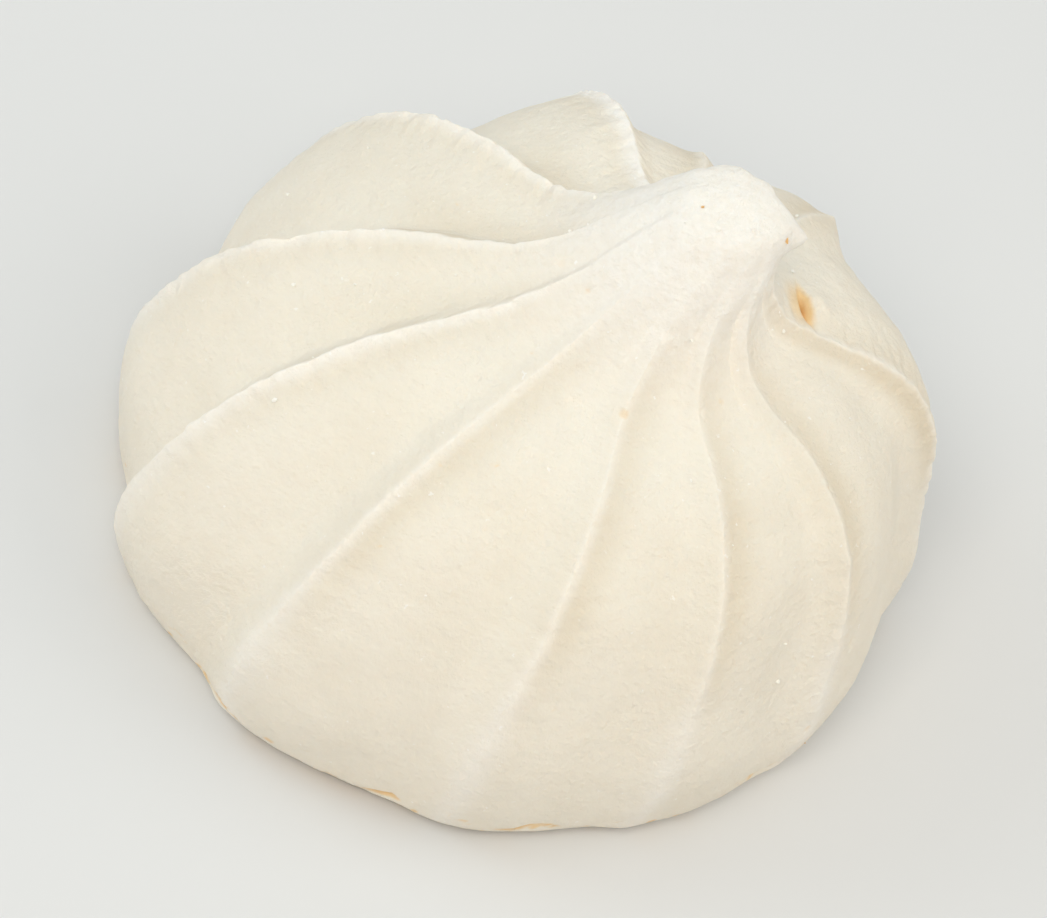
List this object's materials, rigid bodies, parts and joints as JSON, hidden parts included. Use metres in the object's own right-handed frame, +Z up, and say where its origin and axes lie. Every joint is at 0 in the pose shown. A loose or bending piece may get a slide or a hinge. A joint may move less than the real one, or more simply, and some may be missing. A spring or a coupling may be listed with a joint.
{
  "type": "meringue cookie",
  "caption": "Star-piped meringue kiss: a broad domed body of uneven ridges on a flat underside, drawn out to a short blunt beak that leans to one side.",
  "frame": {"origin": "middle of the cookie's outline, on the plane of its flat underside", "axes": "+Z up, from the underside towards the beak; +X towards the side that the beak leans to; -Y is the front"},
  "size_m": [0.0494, 0.0494, 0.032],
  "materials": {
    "meringue": "dry, dusty and matt, ivory"
  },
  "bodies": {
    "root": {"meringue": "meringue"}
  },
  "joints": []
}
